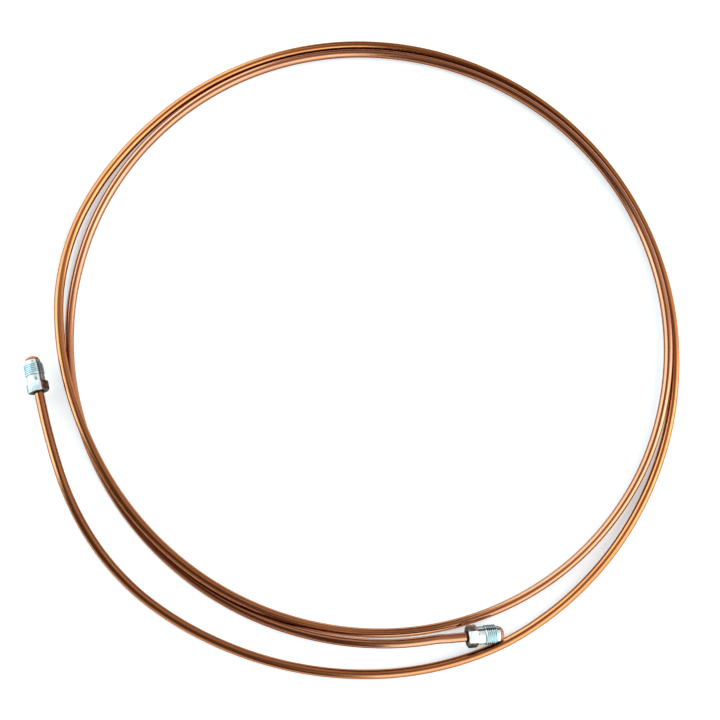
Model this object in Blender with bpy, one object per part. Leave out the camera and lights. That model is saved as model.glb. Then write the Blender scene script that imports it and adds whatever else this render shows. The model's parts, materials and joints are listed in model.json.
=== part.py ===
"""Coiled brake line: one metal tube, flared at both ends, with a tube nut behind each flare.

From nut A the tube makes a wide outer turn, climbs over itself at the left, makes a round middle turn
that leans on the outer one, dives under its own crossing and rises to nut B, whose thread lies over the
outer turn and whose nose points down a little. Metres, +Z up. The line lies on z = 0 with its origin
below its middle.
"""
import math

import bpy
import numpy as np
from mathutils import Matrix, Vector

MM = 0.001

# Tube
TUBE_OD = 4.75 * MM
TUBE_WALL = 0.70 * MM
COIL_RADIUS = 157.7 * MM      # centre line of the middle turn
LAY_GAP = 0.30 * MM           # between turns that lie against each other
END_A_STRAIGHT = 12.5 * MM    # straight tube behind nut A
END_B_STRAIGHT = 8.0 * MM     # straight tube behind nut B
END_B_SPLAY = 6.7             # degrees that end B points outwards from the coil
END_B_DIP = 4.0               # degrees that it falls towards its nose
END_B_SPACINGS = 1.355        # tube spacings from the middle turn out to where straight end B starts
THREAD_LEAN = 1.555 * MM      # how far the front of nut B's thread reaches over the outer turn
STATION_STEP = 6.0            # degrees of coil between two rings of the tube
SHORTEST_STEP = 1.0           # degrees; a ring nearer to the coil's start is left out
HEADING_STEP = 0.5            # degrees over which the coil's direction at its start is read
SHANK_RINGS = 3               # rings on each straight end, under the nut
TUBE_SIDES = 16
SHARP_EDGE = 28.0             # degrees between two faces from which their edge is drawn sharp

# Flare, a bubble with a flat back and a crowned front
FLARE_SWELL = 1.10 * MM       # how far it stands out from the tube
FLARE_LENGTH = 1.75 * MM
FLARE_RIM = 0.45 * MM         # radius of its rounded edge
FLARE_CROWN = 0.12 * MM       # how far its front bulges from a straight cone
FLARE_FOLD = 0.45 * MM        # depth of the hollow that the folded wall leaves in the bore
MOUTH_LIP = 0.35 * MM         # how far the tube's edge is turned in at the mouth

# Tube nut, M10 x 1, measured along its axis from the rear of the hexagon to the nose
HEX_AF = 10.0 * MM
HEX_LENGTH = 5.0 * MM
HEX_CHAMFER_ANGLE = 30.0
HEX_FACE_INSET = 0.10 * MM    # how far the round end face stops short of the flats
HEX_ROLL_A = -10.0            # degrees that nut A has rolled from lying on a flat
HEX_ROLL_B = 10.0
NECK_OD = 8.9 * MM
NECK_LENGTH = 3.7 * MM
THREAD_OD = 9.85 * MM
THREAD_LENGTH = 6.1 * MM
THREAD_CHAMFER = 0.5 * MM
NOSE_OD = 8.0 * MM
NOSE_LENGTH = 1.9 * MM
NOSE_EDGE = 0.25 * MM
SINK_OD = 7.0 * MM            # countersink where the tube enters the hexagon
SINK_DEPTH = 0.8 * MM
BORE_CLEARANCE = 0.20 * MM    # all round the tube
SEAT_GAP = 0.30 * MM          # between the nose and the back of the flare
SPIN_CLEARANCE = 0.30 * MM    # between a turning nut and the tube beside it
NUT_SIDES = 48

TUBE_R = TUBE_OD / 2
PITCH = TUBE_OD + LAY_GAP
HEX_R = HEX_AF / math.sqrt(3)
THREAD_START = HEX_LENGTH + NECK_LENGTH
THREAD_END = THREAD_START + THREAD_LENGTH
NUT_LENGTH = THREAD_END + NOSE_LENGTH
# A rolled nut rests on its lowest corner.
AXIS_HEIGHT = HEX_R * math.cos(math.radians(30 - max(abs(HEX_ROLL_A), abs(HEX_ROLL_B))))


def drift(run):
    """How much further from the coil's centre end B is after a straight run."""
    return run * math.sin(math.radians(END_B_SPLAY)) + run**2 / (2 * COIL_RADIUS)


def fall(run):
    """How much lower end B is after a straight run."""
    return run * math.sin(math.radians(END_B_DIP))


# The front of nut B's thread clears the outer turn that it leans over, and the end's height follows.
THREAD_B_ASIDE = THREAD_OD / 2 + TUBE_R - THREAD_LEAN
THREAD_B_OVER = math.sqrt((THREAD_OD / 2 + TUBE_R + SPIN_CLEARANCE) ** 2 - THREAD_B_ASIDE**2)
END_A_UP = AXIS_HEIGHT - TUBE_R
END_B_UP = THREAD_B_OVER + fall(END_B_STRAIGHT + THREAD_END)
END_B_OUT = END_B_SPACINGS * PITCH
OUTER_OUT = END_B_OUT + drift(END_B_STRAIGHT + THREAD_END) + THREAD_B_ASIDE

# Stations along the tube: degrees travelled round the coil, and the distance out from the middle turn.
WIDE_TURN = [(197, 1.085), (201, 1.12), (205, 1.18), (210, 1.28), (216, 1.38), (222, 1.45), (229, 1.475),
             (236, 1.44), (246, 1.36), (262, 1.24), (276, 1.14), (291, 1.00), (300, 0.86), (312, 0.675),
             (324, 0.51), (334, 0.395)]
CLOSE_TURNS = [(344, 1.04), (354, 0.83), (366, 0.74), (380, 0.70), (400, 0.83), (420, 1.03), (450, 1.15),
               (480, 1.06), (495, 1.05), (504, 1.17), (514, 1.40), (523, 1.53), (534, 1.40), (543, 1.03),
               (551, 0.69), (559, 0.41), (567, 0.24), (580, 0.13), (600, 0.06), (628, 0.0), (690, 0.0),
               (708, -0.10), (725, -0.12), (745, -0.08), (770, 0.05), (790, 0.12), (810, 0.14), (835, 0.06),
               (860, 0.0), (885, 0.0), (899, 0.10), (915, 0.28), (930, 0.42), (948, 0.62), (963, 0.80),
               (977, 0.98), (986, 1.09), (994, 1.15)]
FIRST_SWEEP = WIDE_TURN[0][0]
LAST_SWEEP = 1002.9           # degrees, where the straight end B starts
LEAD_SWEEP = 1000.0           # degrees, where the coil takes up the direction of end B
LEAD_ARC = (COIL_RADIUS + END_B_OUT) * math.radians(LAST_SWEEP - LEAD_SWEEP)
LEAD_OUT = END_B_OUT - LEAD_ARC * math.tan(math.radians(END_B_SPLAY))
LEAD_UP = END_B_UP + LEAD_ARC * math.tan(math.radians(END_B_DIP))
OUT = ([(sweep, share * OUTER_OUT) for sweep, share in WIDE_TURN]
       + [(sweep, spacings * PITCH) for sweep, spacings in CLOSE_TURNS]
       + [(LEAD_SWEEP, LEAD_OUT), (LAST_SWEEP, END_B_OUT)])

# Stations for the height above the floor, as tube spacings: over the crossing, and where turns lean.
CLIMBS = [(505, 0.0), (516, 0.11), (528, 0.42), (538, 0.74), (548, 0.95), (558, 1.01), (568, 1.0),
          (578, 0.95), (588, 0.86), (600, 0.72), (610, 0.56), (619, 0.37), (628, 0.12), (636, 0.0),
          (682, 0.0), (694, 0.20), (704, 0.42), (714, 0.58), (728, 0.67), (745, 0.66), (758, 0.58),
          (770, 0.46), (785, 0.30), (805, 0.17), (830, 0.17), (850, 0.08), (866, 0.0), (952, 0.0)]
LEVEL_SWEEP = 203.0           # degrees, up to which end A keeps the height of its nut
LANDING_SWEEP = 231.0         # degrees, where it has come down to the floor
# Stations of the climb to end B, as shares of its height where the coil takes up the end's direction.
LAST_CLIMB = [(960, 0.06), (968, 0.24), (976, 0.56), (983, 0.84), (990, 1.03), (995, 1.05)]
UP = ([(FIRST_SWEEP, END_A_UP), (LEVEL_SWEEP, END_A_UP), (LANDING_SWEEP, 0.0)]
      + [(sweep, spacings * PITCH) for sweep, spacings in CLIMBS]
      + [(sweep, share * LEAD_UP) for sweep, share in LAST_CLIMB]
      + [(LEAD_SWEEP, LEAD_UP), (LAST_SWEEP, END_B_UP)])


def smooth_through(stations, at):
    """Cubic curve through the stations, level at each high or low one and never past it."""
    sweep, value = np.array(stations, float).T
    rise = np.diff(value) / np.diff(sweep)
    slope = (value[2:] - value[:-2]) / (sweep[2:] - sweep[:-2])
    steepest = 3 * np.minimum(abs(rise[1:]), abs(rise[:-1]))
    slope = np.where(rise[1:] * rise[:-1] > 0, np.clip(slope, -steepest, steepest), 0)
    slope = np.concatenate([rise[:1], slope, rise[-1:]])
    span = np.clip(np.searchsorted(sweep, at, side="right") - 1, 0, len(sweep) - 2)
    width = sweep[span + 1] - sweep[span]
    t = (at - sweep[span]) / width
    start = value[span] * (1 + 2 * t) * (1 - t) ** 2 + slope[span] * width * t * (1 - t) ** 2
    end = value[span + 1] * t**2 * (3 - 2 * t) - slope[span + 1] * width * t**2 * (1 - t)
    return start + end


def coil_point(sweep):
    """Centre line of the tube in the coil, by degrees travelled round it."""
    angle = np.radians(sweep)
    radius = COIL_RADIUS + smooth_through(OUT, sweep)
    height = TUBE_R + smooth_through(UP, sweep)
    return np.stack([radius * np.cos(angle), radius * np.sin(angle), height], axis=-1)


def level_heading(start, end):
    """Unit vector in plan from one point to another."""
    step = (end - start) * (1, 1, 0)
    return step / np.linalg.norm(step)


def tube_ends():
    """Where each straight end leaves the coil, and the direction in which its nose points."""
    near = coil_point(np.array([FIRST_SWEEP, FIRST_SWEEP + HEADING_STEP, LAST_SWEEP]))
    heading_b = math.radians(LAST_SWEEP + 90 - END_B_SPLAY)
    dip_b = math.radians(END_B_DIP)
    nose_b = np.array([math.cos(heading_b) * math.cos(dip_b),
                       math.sin(heading_b) * math.cos(dip_b),
                       -math.sin(dip_b)])
    return (near[0], level_heading(near[1], near[0])), (near[2], nose_b)


def coil_path():
    """Points of the coiled part, one at each station angle and one at each end of it."""
    inside = np.arange(math.ceil(FIRST_SWEEP / STATION_STEP), LAST_SWEEP / STATION_STEP) * STATION_STEP
    inside = inside[inside > FIRST_SWEEP + SHORTEST_STEP]
    return coil_point(np.concatenate([[FIRST_SWEEP], inside, [LAST_SWEEP]]))


def flare_profile():
    """Outside and bore of a flare: distance in front of its back face, and radius."""
    rim_r = TUBE_R + FLARE_SWELL
    bore_r = TUBE_R - TUBE_WALL
    mouth_r = TUBE_R - MOUTH_LIP
    turn = np.radians([0, 30, 60, 90, 125])
    rim = np.stack([FLARE_RIM * (1 - np.cos(turn)), rim_r - FLARE_RIM * (1 - np.sin(turn))], axis=-1)
    crown = ((rim[-1, 0] + FLARE_LENGTH) / 2, (rim[-1, 1] + mouth_r) / 2 + FLARE_CROWN)
    outside = [(0.0, TUBE_R), *rim, crown, (FLARE_LENGTH, mouth_r)]
    bore = [(FLARE_LENGTH, (mouth_r + bore_r) / 2),
            (FLARE_LENGTH * 3 / 4, bore_r),
            (FLARE_LENGTH / 2, bore_r + FLARE_FOLD),
            (FLARE_LENGTH / 4, bore_r)]
    return outside, bore


def end_rings(start, nose, straight):
    """Rings of a straight end, from the coil to the mouth of its flare, outside and then bore.

    Each ring is its centre, its direction and its radius.
    """
    seat = straight + NUT_LENGTH + SEAT_GAP
    outside, bore = flare_profile()
    shank = np.arange(1, SHANK_RINGS + 1) / (SHANK_RINGS + 1) * seat
    out = [(start + nose * run, nose, TUBE_R) for run in shank]
    out += [(start + nose * (seat + run), nose, radius) for run, radius in outside]
    back = [(start + nose * (seat + run), nose, radius) for run, radius in bore]
    back += [(start + nose * run, nose, TUBE_R - TUBE_WALL) for run in shank[::-1]]
    return out, back


def ring(centre, along, radius, sides):
    """A level-sided circle of points across the tube's direction."""
    along = along / np.linalg.norm(along)
    across = np.cross((0, 0, 1), along)
    across /= np.linalg.norm(across)
    above = np.cross(along, across)
    turn = np.arange(sides) * 2 * math.pi / sides
    return centre + radius * (np.outer(np.sin(turn), across) + np.outer(np.cos(turn), above))


def ring_surface(name, rings, material):
    """Join each ring to the next, and the last to the first, into one closed skin."""
    rings = np.array(rings)
    count, sides = rings.shape[:2]
    row, column = np.meshgrid(np.arange(count), np.arange(sides), indexing="ij")
    next_row, next_column = (row + 1) % count, (column + 1) % sides
    corners = [row * sides + column, next_row * sides + column,
               next_row * sides + next_column, row * sides + next_column]
    faces = np.stack(corners, axis=-1).reshape(-1, 4)
    mesh = bpy.data.meshes.new(name)
    mesh.from_pydata(rings.reshape(-1, 3).tolist(), [], faces.tolist())
    mesh.materials.append(material)
    mesh.shade_smooth()
    mesh.set_sharp_from_angle(angle=math.radians(SHARP_EDGE))
    piece = bpy.data.objects.new(name, mesh)
    bpy.context.scene.collection.objects.link(piece)
    return piece


def metal(name, colour, roughness):
    material = bpy.data.materials.new(name)
    material.use_nodes = True
    shader = material.node_tree.nodes["Principled BSDF"]
    shader.inputs["Base Color"].default_value = (*colour, 1.0)
    shader.inputs["Metallic"].default_value = 1.0
    shader.inputs["Roughness"].default_value = roughness
    return material


def make_tube(material):
    """The tube's skin runs from mouth A to mouth B outside, and back through the bore."""
    (start_a, nose_a), (start_b, nose_b) = tube_ends()
    path = coil_path()
    along = np.gradient(path, axis=0)
    along[0], along[-1] = -nose_a, nose_b
    out_a, back_a = end_rings(start_a, nose_a, END_A_STRAIGHT)
    out_b, back_b = end_rings(start_b, nose_b, END_B_STRAIGHT)
    bore_r = TUBE_R - TUBE_WALL
    skin = [(centre, -nose, radius) for centre, nose, radius in out_a[::-1]]
    skin += [(point, way, TUBE_R) for point, way in zip(path, along)]
    skin += out_b + back_b
    skin += [(point, way, bore_r) for point, way in zip(path[::-1], along[::-1])]
    skin += [(centre, -nose, radius) for centre, nose, radius in back_a[::-1]]
    rings = [ring(centre, way, radius, TUBE_SIDES) for centre, way, radius in skin]
    return ring_surface("brake_tube", rings, material)


def hex_reach(turn):
    """Distance from the axis to the side of the hexagon, by angle from the middle of a flat."""
    off_flat = (turn + math.pi / 6) % (math.pi / 3) - math.pi / 6
    return HEX_AF / 2 / np.cos(off_flat)


def nut_rings():
    """Rings of a nut along +X from the rear of the hexagon, round the outside and back by the bore."""
    turn = np.arange(NUT_SIDES) * 2 * math.pi / NUT_SIDES

    def across(run, radius):
        run, radius = run + 0 * turn, radius + 0 * turn
        return np.stack([run, radius * np.sin(turn), radius * np.cos(turn)], axis=-1)

    flats = hex_reach(turn)
    rim_r = HEX_AF / 2 - HEX_FACE_INSET
    slope = math.tan(math.radians(HEX_CHAMFER_ANGLE))
    bevel = (flats - rim_r) * slope
    bore_r = TUBE_R + BORE_CLEARANCE
    thread_r, neck_r, nose_r = THREAD_OD / 2, NECK_OD / 2, NOSE_OD / 2
    return [across(0, SINK_OD / 2),
            across(0, rim_r),
            across(bevel, flats),
            across(HEX_LENGTH - bevel, flats),
            across(HEX_LENGTH, rim_r),
            across(HEX_LENGTH, neck_r),
            across(THREAD_START, neck_r),
            across(THREAD_START + (thread_r - neck_r), thread_r),
            across(THREAD_END - THREAD_CHAMFER, thread_r),
            across(THREAD_END, thread_r - THREAD_CHAMFER),
            across(THREAD_END, nose_r),
            across(NUT_LENGTH - NOSE_EDGE, nose_r),
            across(NUT_LENGTH, nose_r - NOSE_EDGE),
            across(NUT_LENGTH, bore_r),
            across(SINK_DEPTH, bore_r)]


def make_nut(name, start, nose, straight, roll, parent, material):
    """A nut whose origin is on its axis at the rear of the hexagon, rolled about that axis."""
    nut = ring_surface(name, nut_rings(), material)
    heading = Matrix.Rotation(math.atan2(nose[1], nose[0]), 4, "Z")
    climb = Matrix.Rotation(-math.asin(nose[2]), 4, "Y")
    turn = heading @ climb @ Matrix.Rotation(math.radians(roll), 4, "X")
    nut.parent = parent
    nut.matrix_local = Matrix.Translation(Vector(start + nose * straight)) @ turn
    return nut


def centre_on_floor(pieces, root):
    """Move the root so that the middle of the whole line's footprint is above the origin."""
    bpy.context.view_layer.update()
    corners = [piece.matrix_world @ vertex.co for piece in pieces for vertex in piece.data.vertices]
    middle = [(min(point[axis] for point in corners) + max(point[axis] for point in corners)) / 2
              for axis in (0, 1)]
    root.location = (-middle[0], -middle[1], 0)


def main():
    for old in list(bpy.data.objects):
        bpy.data.objects.remove(old, do_unlink=True)
    copper = metal("drawn_copper", (0.72, 0.36, 0.18), 0.28)
    zinc = metal("zinc_plate", (0.80, 0.84, 0.85), 0.25)
    tube = make_tube(copper)
    (start_a, nose_a), (start_b, nose_b) = tube_ends()
    nut_a = make_nut("tube_nut_a", start_a, nose_a, END_A_STRAIGHT, HEX_ROLL_A, tube, zinc)
    nut_b = make_nut("tube_nut_b", start_b, nose_b, END_B_STRAIGHT, HEX_ROLL_B, tube, zinc)
    centre_on_floor((tube, nut_a, nut_b), tube)


main()
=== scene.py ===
# %% [markdown]
# # A coiled brake line
# The real object is one long drawn tube the colour of copper, wound into two and a quarter turns. Each end
# has a bubble flare and, captive behind it, a zinc-plated tube nut with a fine thread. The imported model
# holds the sizes, the joints and plain solids. This script keeps every place and gives each piece its real
# surface: a smooth tube with the marks of drawing, and nuts with a cut helix, softened edges and plating.

# %% Load the frame
import json
import math

import bpy
import numpy as np
from mathutils import Matrix, Vector


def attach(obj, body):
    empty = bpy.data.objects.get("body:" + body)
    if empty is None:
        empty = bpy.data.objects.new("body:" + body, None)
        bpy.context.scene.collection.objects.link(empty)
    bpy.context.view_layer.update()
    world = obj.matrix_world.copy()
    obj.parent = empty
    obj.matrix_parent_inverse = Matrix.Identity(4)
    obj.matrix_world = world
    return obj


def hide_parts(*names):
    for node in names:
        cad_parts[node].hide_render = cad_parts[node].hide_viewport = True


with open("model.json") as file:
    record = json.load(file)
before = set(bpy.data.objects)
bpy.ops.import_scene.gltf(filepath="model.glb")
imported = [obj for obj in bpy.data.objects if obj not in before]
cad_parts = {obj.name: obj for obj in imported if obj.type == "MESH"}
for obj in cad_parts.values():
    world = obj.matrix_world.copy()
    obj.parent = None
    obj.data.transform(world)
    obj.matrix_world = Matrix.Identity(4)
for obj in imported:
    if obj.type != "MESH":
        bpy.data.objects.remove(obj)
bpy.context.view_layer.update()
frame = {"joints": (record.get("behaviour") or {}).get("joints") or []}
MM = 0.001

# %% [markdown]
# ## Camera
# A coil of wire is a good measuring tool. Its middle turn is round, so the ellipse that it makes in the
# photograph gives the camera's lean, and the sizes of the near and far sides give its distance. It could be
# placed by eye in the viewport, but here its direction is fitted.

# %% Place the camera
CAMERA_LEAN = math.radians(16.3)       # off straight down
CAMERA_TURN = math.radians(22.0)       # from the front towards the left
CAMERA_DISTANCE = 0.7856
CAMERA_LENS = 75.0
CAMERA_SENSOR = 36.0
AIM = Vector((0.0001, -0.0092, 0.0))   # the point of the floor in the middle of the picture


def camera_axes():
    """Right, up and backward directions of the camera; backward leans towards the front left."""
    backward = Vector((-math.sin(CAMERA_LEAN) * math.sin(CAMERA_TURN),
                       -math.sin(CAMERA_LEAN) * math.cos(CAMERA_TURN),
                       math.cos(CAMERA_LEAN)))
    right = Vector((0, 1, 0)).cross(backward).normalized()
    return right, backward.cross(right), backward


camera = bpy.data.objects.new("camera", bpy.data.cameras.new("camera"))
bpy.context.scene.collection.objects.link(camera)
camera.data.lens = CAMERA_LENS
camera.data.sensor_width = CAMERA_SENSOR
camera_right, camera_up, camera_back = camera_axes()
camera.matrix_world = Matrix.Translation(AIM + camera_back * CAMERA_DISTANCE) @ Matrix(
    (camera_right, camera_up, camera_back)).transposed().to_4x4()
bpy.context.scene.camera = camera
print("camera at", [round(value, 3) for value in camera.matrix_world.translation])

# %% [markdown]
# ## Helpers for nodes
# Every finish below is a tree of nodes, and each input of a node takes a link from another node or a value.
# The trees could be wired by hand in the Shader Editor. Here a few short helpers do it, so that a line of
# the script reads like a formula.

# %% Links, sums and mixes


def feed(tree, socket, value):
    """Give an input its value: a link from another node's output, or else a number, vector or colour."""
    if isinstance(value, bpy.types.NodeSocket):
        tree.links.new(value, socket)
    else:
        socket.default_value = value


def add_math(tree, operation, *values):
    """A math node; each value is a link or a number."""
    node = tree.nodes.new("ShaderNodeMath")
    node.operation = operation
    for socket, value in zip(node.inputs, values):
        feed(tree, socket, value)
    return node.outputs[0]


def add_mix(tree, factor, first, second):
    """Colours mixed by a factor: the first at 0, the second at 1; each is a link or four numbers."""
    mix = tree.nodes.new("ShaderNodeMix")
    mix.data_type = "RGBA"
    for socket, value in (("Factor", factor), ("A", first), ("B", second)):
        feed(tree, mix.inputs[socket], value)
    return mix.outputs["Result"]


def new_material(name):
    """A material with its node tree and its shader."""
    material = bpy.data.materials.new(name)
    material.use_nodes = True
    tree = material.node_tree
    return material, tree, tree.nodes["Principled BSDF"]


print("helpers: feed, add_math, add_mix, new_material")

# %% [markdown]
# ## Floor
# Polished metal shows the room, so the floor matters twice: the picture sees it, and the underside of every
# turn mirrors it. It is a plain pale sheet that takes shadows. A little light of its own, seen by the
# camera and in reflections only, lifts the open floor to white and leaves the shadows under the turns.

# %% Make the floor
FLOOR_HALF = 15.0
FLOOR_COLOUR = (0.82, 0.82, 0.82, 1.0)
FLOOR_LIFT = (0.45, 0.45, 0.45, 1.0)   # light that the camera and reflections see besides the lit floor
NO_LIFT = (0.0, 0.0, 0.0, 1.0)


def floor_material():
    """Pale and matt, with light of its own where the ray is a camera, glossy or transmission ray."""
    material, tree, shader = new_material("studio_floor")
    shader.inputs["Base Color"].default_value = FLOOR_COLOUR
    shader.inputs["Roughness"].default_value = 1.0
    shader.inputs["Specular IOR Level"].default_value = 0.0
    shader.inputs["Emission Strength"].default_value = 1.0
    ray = tree.nodes.new("ShaderNodeLightPath").outputs
    seen = add_math(tree, "MAXIMUM", ray["Is Camera Ray"], ray["Is Glossy Ray"])
    seen = add_math(tree, "MAXIMUM", seen, ray["Is Transmission Ray"])
    feed(tree, shader.inputs["Emission Color"], add_mix(tree, seen, NO_LIFT, FLOOR_LIFT))
    return material


def flat_sheet(name, half, material):
    """A square sheet at z = 0, `half` to each side of the origin."""
    mesh = bpy.data.meshes.new(name)
    corners = [(-half, -half, 0), (half, -half, 0), (half, half, 0), (-half, half, 0)]
    mesh.from_pydata(corners, [], [(0, 1, 2, 3)])
    mesh.materials.append(material)
    sheet = bpy.data.objects.new(name, mesh)
    bpy.context.scene.collection.objects.link(sheet)
    return sheet


floor = flat_sheet("studio_floor", FLOOR_HALF, floor_material())
print("floor:", 2 * FLOOR_HALF, "m wide")

# %% [markdown]
# ## Lights
# A round metal tube mirrors a thin slice of the whole room along its length, so each band of colour on a
# turn is one softbox or one dark wall. Reading the bands right round the coil gives the room: a wide softbox
# on the right and another behind on the left, both cool, dimmer warm walls between and above them, and a
# dark stretch on the front left. Lamps could be hung there one by one. Here each softbox is a window of
# light painted on the world, because a window is exact in direction, has soft edges and lights the floor
# too. Together they come to between 1.1 and 1.3 on the floor, near the plain level of 1 at which a colour
# renders as it is written.

# %% Windows of light
ROOM_COLOUR = (0.11, 0.070, 0.055)     # the unlit corners are dim and warm
LAMP_COLOUR = (0.84, 1.12, 1.24)       # the softboxes are cool
WALL_COLOUR = (0.98, 0.92, 0.88)       # the walls between them give a warm light back
# Windows: azimuth (0 along +X, 90 along +Y) and elevation of the middle, half width, half height and
# softness of the edge, all in degrees, then the light and its colour.
WINDOWS = [("softbox_right", 327, 23, 49, 29, 4, 2.3, LAMP_COLOUR),
           ("softbox_right_core", 338, 34, 24, 13, 16, 0.4, LAMP_COLOUR),
           ("softbox_right_fade", 9, 33, 22, 32, 12, 0.9, WALL_COLOUR),
           ("softbox_right_top", 333, 57, 46, 9, 14, 0.9, WALL_COLOUR),
           ("softbox_back_left", 145, 19, 46, 28, 5, 2.6, LAMP_COLOUR),
           ("softbox_left_core", 171, 11, 20, 15, 10, 0.8, LAMP_COLOUR),
           ("softbox_back_left_top", 132, 51, 46, 9, 12, 1.0, WALL_COLOUR),
           ("wall_back", 54, 38, 26, 26, 12, 0.38, WALL_COLOUR),
           ("wall_front", 236, 16, 16, 20, 10, 0.36, WALL_COLOUR),
           ("ceiling_right", 10, 68, 110, 12, 14, 0.30, WALL_COLOUR)]
print("windows of light:", len(WINDOWS))

# %% Light the room


def add_range(tree, value, low, high, to_low=0.0, to_high=1.0, kind="LINEAR"):
    """A clamped change of range from (low, high) to (to_low, to_high), straight or eased at both ends."""
    change = tree.nodes.new("ShaderNodeMapRange")
    change.interpolation_type = kind
    for socket, number in zip(("Value", "From Min", "From Max", "To Min", "To Max"),
                              (value, low, high, to_low, to_high)):
        feed(tree, change.inputs[socket], number)
    return change.outputs["Result"]


def add_split(tree, vector):
    """The X, Y and Z of a vector."""
    parts = tree.nodes.new("ShaderNodeSeparateXYZ")
    feed(tree, parts.inputs[0], vector)
    return parts.outputs


def soft_step(tree, offset, half, soft):
    """1 within `half` degrees of the middle and 0 beyond, with an edge `soft` degrees wide."""
    return add_range(tree, add_math(tree, "ABSOLUTE", offset), half - soft / 2, half + soft / 2, 1.0, 0.0,
                     "SMOOTHSTEP")


def studio_world():
    """Light = the room's colour + the sum of the windows, each by azimuth and elevation."""
    world = bpy.data.worlds.new("studio_room")
    world.use_nodes = True
    tree = world.node_tree
    way = add_split(tree, tree.nodes.new("ShaderNodeTexCoord").outputs["Generated"])
    azimuth = add_math(tree, "DEGREES", add_math(tree, "ARCTAN2", way["Y"], way["X"]))
    elevation = add_math(tree, "DEGREES", add_math(tree, "ARCSINE", way["Z"]))
    total = ROOM_COLOUR
    for name, middle, height, half_wide, half_tall, soft, light, colour in WINDOWS:
        aside = add_math(tree, "WRAP", add_math(tree, "SUBTRACT", azimuth, middle), -180.0, 180.0)
        above = add_math(tree, "SUBTRACT", elevation, height)
        window = add_math(tree, "MULTIPLY", soft_step(tree, aside, half_wide, soft),
                          soft_step(tree, above, half_tall, soft))
        more = tree.nodes.new("ShaderNodeVectorMath")
        more.operation = "MULTIPLY_ADD"
        more.label = name
        for socket, value in zip(more.inputs, (window, [light * part for part in colour], total)):
            feed(tree, socket, value)
        total = more.outputs[0]
    feed(tree, tree.nodes["Background"].inputs["Color"], total)
    return world


bpy.context.scene.world = studio_world()
bpy.context.scene.view_settings.view_transform = "Standard"
print("world:", bpy.context.scene.world.name)

# %% [markdown]
# ## The route of the tube
# The tube's centre line is written as degrees travelled round the coil, with a few stations that say how far
# out from the round middle turn it runs and how high it lies. It could be a hand-drawn curve, but then a
# change of tube size would break every place where turns touch. Here those distances are worked out from
# the tube and nut sizes, exactly as the solids were made, and read at much finer steps.

# %% Sizes of the tube and of its nuts
TUBE_OD = 4.75 * MM
TUBE_WALL = 0.70 * MM
COIL_RADIUS = 157.7 * MM       # centre line of the middle turn
LAY_GAP = 0.30 * MM            # between two turns side by side
END_A_STRAIGHT = 12.5 * MM     # straight tube behind the nut
END_B_STRAIGHT = 8.0 * MM
END_B_SPLAY = 6.7              # degrees that end B points outwards
END_B_DIP = 4.0                # degrees that it points down
END_B_SPACINGS = 1.355         # spacings from the middle turn to the start of the straight end B
THREAD_LEAN = 1.555 * MM       # how far nut B's thread lies over the outer turn, seen from above
HEX_AF = 10.0 * MM             # across flats
HEX_ROLLS = {"tube_nut_a": -10.0, "tube_nut_b": 10.0}  # degrees by which the top flat is tilted
HEX_LENGTH = 5.0 * MM
NECK_OD = 8.9 * MM
NECK_LENGTH = 3.7 * MM
THREAD_OD = 9.85 * MM
THREAD_LENGTH = 6.1 * MM
NOSE_OD = 8.0 * MM
NOSE_LENGTH = 1.9 * MM
SPIN_CLEARANCE = 0.30 * MM     # between nut B's thread and the turn under it
SEAT_GAP = 0.30 * MM           # between a nut's nose and its flare
HALF_FLAT = 30                 # degrees from the middle of a flat to its edge

TUBE_R = TUBE_OD / 2
BORE_R = TUBE_R - TUBE_WALL
PITCH = TUBE_OD + LAY_GAP      # one spacing, between the centre lines of two turns side by side
HEX_R = HEX_AF / math.sqrt(3)
THREAD_START = HEX_LENGTH + NECK_LENGTH
THREAD_END = THREAD_START + THREAD_LENGTH
NUT_LENGTH = THREAD_END + NOSE_LENGTH
LEAN = max(abs(roll) for roll in HEX_ROLLS.values())
AXIS_HEIGHT = HEX_R * math.cos(math.radians(HALF_FLAT - LEAN))     # of a nut that lies on its lowest edge
print("spacing, nut and axis height, mm:", [round(size / MM, 2) for size in (PITCH, NUT_LENGTH, AXIS_HEIGHT)])

# %% [markdown]
# ## How high the ends lie
# Nut A rests on an edge of its hexagon, and nut B's thread lies over the outer turn. A photograph from above
# shows height badly, so it isn't read off there. It follows from the shapes that touch: a right-angled
# triangle between the axis of nut B and that of the tube under it gives the height from the distance aside.

# %% Heights and distances of the two ends


def drift(run):
    """How much further from the coil's centre end B is after a straight run."""
    return run * math.sin(math.radians(END_B_SPLAY)) + run**2 / (2 * COIL_RADIUS)


def fall(run):
    """How much lower end B is after a straight run."""
    return run * math.sin(math.radians(END_B_DIP))


# The front of nut B's thread clears the outer turn that it leans over, and the end's height follows.
THREAD_B_ASIDE = THREAD_OD / 2 + TUBE_R - THREAD_LEAN
THREAD_B_OVER = math.sqrt((THREAD_OD / 2 + TUBE_R + SPIN_CLEARANCE) ** 2 - THREAD_B_ASIDE**2)
END_A_UP = AXIS_HEIGHT - TUBE_R
END_B_UP = THREAD_B_OVER + fall(END_B_STRAIGHT + THREAD_END)
END_B_OUT = END_B_SPACINGS * PITCH
OUTER_OUT = END_B_OUT + drift(END_B_STRAIGHT + THREAD_END) + THREAD_B_ASIDE
print("lift of end A and end B, mm:", round(END_A_UP / MM, 2), round(END_B_UP / MM, 2))

# %% [markdown]
# ## Where the turns lie
# The turns were measured in the photograph all the way round, and which one covers which tells the heights.
# A spiral formula would be shorter, but this coil isn't one: its turns drift apart, lean on each other and
# cross. A table of stations keeps all of that. Its distances are shares of a spacing, so that turns which
# lie together go on doing so when the tube's diameter changes.

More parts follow.
